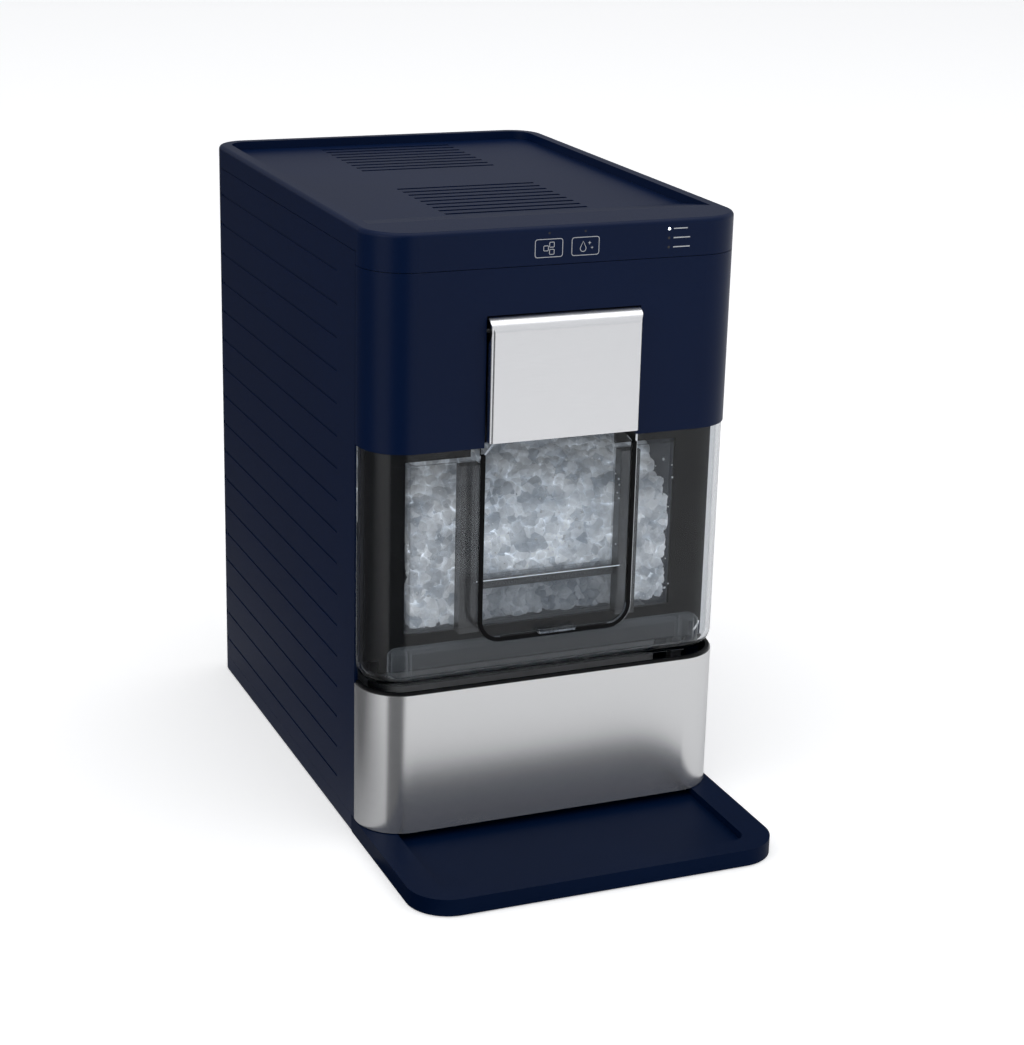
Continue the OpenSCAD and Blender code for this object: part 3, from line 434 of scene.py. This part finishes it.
def round_rect(x0, x1, z0, z1, r):
    corners = [(x1 - r, z1 - r, 0), (x0 + r, z1 - r, 1), (x0 + r, z0 + r, 2), (x1 - r, z0 + r, 3)]
    points = []
    for cx, cz, quarter in corners:
        points += arc(cx, cz, r, quarter * math.pi / 2, (quarter + 1) * math.pi / 2, 6)
    return points


def outline_strip(points, width):
    """A closed thin line along the points, as a flat ring of faces in the x-z plane."""
    count = len(points)
    outer, inner = [], []
    for i, (x, z) in enumerate(points):
        px, pz = points[i - 1]
        nx, nz = points[(i + 1) % count]
        along = Vector((nx - px, nz - pz)).normalized()
        side = Vector((along.y, -along.x)) * width / 2
        outer.append((x + side.x, z + side.y))
        inner.append((x - side.x, z - side.y))
    faces = [[i, (i + 1) % count, count + (i + 1) % count, count + i] for i in range(count)]
    return outer + inner, faces


def print_marks(name, shapes, mat):
    """shapes is a list of (points, faces) in millimetres on the band's face."""
    verts, faces = [], []
    for points, shape_faces in shapes:
        start = len(verts)
        verts += [Vector((x * MM, front_y - 0.00004, z * MM)) for x, z in points]
        faces += [[start + i for i in f] for f in shape_faces]
    add_mesh(name, verts, faces, mat, "cabinet")


def filled(points):
    return points, [list(range(len(points)))]


def drop_outline(cx, cz, r):
    points = arc(cx, cz, r, -math.pi * 1.12, math.pi * 0.12, 14)
    return points + [(cx, cz + 2.3 * r)]


def sparkle(cx, cz, r):
    points = []
    for i in range(8):
        reach = r if i % 2 == 0 else r * 0.32
        points.append((cx + reach * math.cos(i * math.pi / 4), cz + reach * math.sin(i * math.pi / 4)))
    return filled(points)


LINE_W = 0.42
KEY_Z = (399.3, 410.8)
LAMP_X = 71.4
LAMP_ROWS = (413, 407, 401)
LAMP_R = 0.85
BAR_X = 74.5
BAR_HALF = 0.35


def control_marks():
    """Two touch keys, three bars beside the lamps and one lit lamp."""
    keys = [(-22, -3.2), (3.2, 22)]
    cubes = [(-12.2, 405.6), (-16.2, 403.4), (-12.2, 401.0)]
    shapes = [outline_strip(round_rect(x0, x1, *KEY_Z, 1.6), LINE_W) for x0, x1 in keys]
    shapes += [outline_strip(round_rect(x, x + 3.2, z, z + 3.2, 0.6), LINE_W) for x, z in cubes]
    shapes += [
        outline_strip(drop_outline(11.0, 403.6, 2.0), LINE_W),
        sparkle(15.4, 407.0, 1.3),
        sparkle(17.2, 403.9, 1.0),
    ]
    for z, bar_end in zip(LAMP_ROWS, (84.5, 86.5, 86.5)):
        shapes.append(filled(round_rect(BAR_X, bar_end, z - BAR_HALF, z + BAR_HALF, 0.3)))
    print_marks("control_prints", shapes, new_material("pale_print", (0.62, 0.64, 0.68), 0.5)[0])
    lamp = arc(LAMP_X, LAMP_ROWS[0], LAMP_R, 0, 15 * math.pi / 8, 15)
    print_marks("power_lamp", [filled(lamp)], glow("lamp_on", (0.85, 0.92, 1.0), 6.0))


control_marks()

# ---- floor and light ----


FLOOR_COLOR = (0.92, 0.92, 0.92)
FLOOR_PAINTED_REFLECTION = (0.05, 0.05, 0.055)
FLOOR_LIFT = 0.42
BAND_FROM = (-0.12, -0.13)
FLOOR_BAND = math.radians(-25)
WORLD_BAND = math.radians(-13)


def floor_material():
    """White to the camera; to the object it is dark at the left rear and in a band at the front left,
    painted dark reflections that only the object sees.
    """
    mat, tree, bsdf = new_material("floor", FLOOR_COLOR, 0.8)
    axes = place_axes(tree)
    left = run_between(tree, axes["X"], 0.05, -0.25)
    rear = run_between(tree, axes["Y"], -0.35, 0.0)
    left_rear = math_node(tree, "MULTIPLY", left, rear)
    ahead = math_node(tree, "SUBTRACT", BAND_FROM[1], axes["Y"])
    aside = math_node(tree, "ADD", axes["X"], -BAND_FROM[0])
    bearing = math_node(tree, "ARCTAN2", aside, ahead)
    off_band = math_node(tree, "ABSOLUTE", math_node(tree, "ADD", bearing, -FLOOR_BAND))
    band = run_between(tree, off_band, math.radians(19), math.radians(27), 1, 0)
    seen = tree.nodes.new("ShaderNodeLightPath").outputs["Is Camera Ray"]
    unseen = math_node(tree, "SUBTRACT", 1, seen)
    # Painted reflection: the share of the floor that turns dark for the object's rays but not for the
    # camera.
    painted_reflection_share = math_node(tree, "MULTIPLY", math_node(tree, "MAXIMUM", left_rear, band), unseen)
    mix = tree.nodes.new("ShaderNodeMix")
    mix.data_type = "RGBA"
    mix.inputs["A"].default_value = (*FLOOR_COLOR, 1)
    mix.inputs["B"].default_value = (*FLOOR_PAINTED_REFLECTION, 1)
    tree.links.new(painted_reflection_share, mix.inputs["Factor"])
    tree.links.new(mix.outputs["Result"], bsdf.inputs["Base Color"])
    tree.links.new(math_node(tree, "MULTIPLY", seen, FLOOR_LIFT), bsdf.inputs["Emission Strength"])
    bsdf.inputs["Emission Color"].default_value = (1, 1, 1, 1)
    return mat


def make_floor():
    half = 20
    mesh = bpy.data.meshes.new("floor")
    corners = [(-half, -half, 0), (half, -half, 0), (half, half, 0), (-half, half, 0)]
    mesh.from_pydata(corners, [], [[0, 1, 2, 3]])
    mesh.materials.append(floor_material())
    floor = bpy.data.objects.new("floor", mesh)
    bpy.context.scene.collection.objects.link(floor)


def area_light(name, place, target, size, watts):
    data = bpy.data.lights.new(name, "AREA")
    data.energy = watts
    data.size = size
    light = bpy.data.objects.new(name, data)
    bpy.context.scene.collection.objects.link(light)
    light.location = place
    light.rotation_euler = (Vector(target) - Vector(place)).to_track_quat("-Z", "Y").to_euler()


def make_world():
    """White to the camera; to the object a soft room, dimmer behind, with a dark band at the front left."""
    world = bpy.data.worlds.new("studio")
    bpy.context.scene.world = world
    world.use_nodes = True
    tree = world.node_tree
    tree.nodes.clear()
    output = tree.nodes.new("ShaderNodeOutputWorld")
    coords = tree.nodes.new("ShaderNodeTexCoord")
    split = tree.nodes.new("ShaderNodeSeparateXYZ")
    tree.links.new(coords.outputs["Generated"], split.inputs["Vector"])
    toward_user = math_node(tree, "MULTIPLY", split.outputs["Y"], -1.0)
    bearing = math_node(tree, "ARCTAN2", split.outputs["X"], toward_user)
    off_band = math_node(tree, "ABSOLUTE", math_node(tree, "ADD", bearing, -WORLD_BAND))
    ramp = tree.nodes.new("ShaderNodeValToRGB")
    ramp.color_ramp.elements[0].position = math.radians(6)
    ramp.color_ramp.elements[0].color = (0.02, 0.02, 0.022, 1)
    ramp.color_ramp.elements[1].position = math.radians(16)
    ramp.color_ramp.elements[1].color = (0.66, 0.67, 0.69, 1)
    tree.links.new(off_band, ramp.inputs["Fac"])
    studio = tree.nodes.new("ShaderNodeBackground")
    behind = run_between(tree, split.outputs["Y"], 0.2, 0.7, 1.0, 0.35)
    tree.links.new(behind, studio.inputs["Strength"])
    tree.links.new(ramp.outputs["Color"], studio.inputs["Color"])
    plain = tree.nodes.new("ShaderNodeBackground")
    plain.inputs["Color"].default_value = (1, 1, 1, 1)
    path = tree.nodes.new("ShaderNodeLightPath")
    mix = tree.nodes.new("ShaderNodeMixShader")
    tree.links.new(path.outputs["Is Camera Ray"], mix.inputs[0])
    tree.links.new(studio.outputs[0], mix.inputs[1])
    tree.links.new(plain.outputs[0], mix.inputs[2])
    tree.links.new(mix.outputs[0], output.inputs["Surface"])


make_floor()
make_world()
area_light("top_soft", (0, -0.3, 4.0), (0, 0, 0), 5.0, 60)
area_light("left_soft", (-2.2, -0.9, 1.3), (0, 0, 0.2), 1.2, 5)

bpy.context.scene.view_settings.view_transform = "Standard"
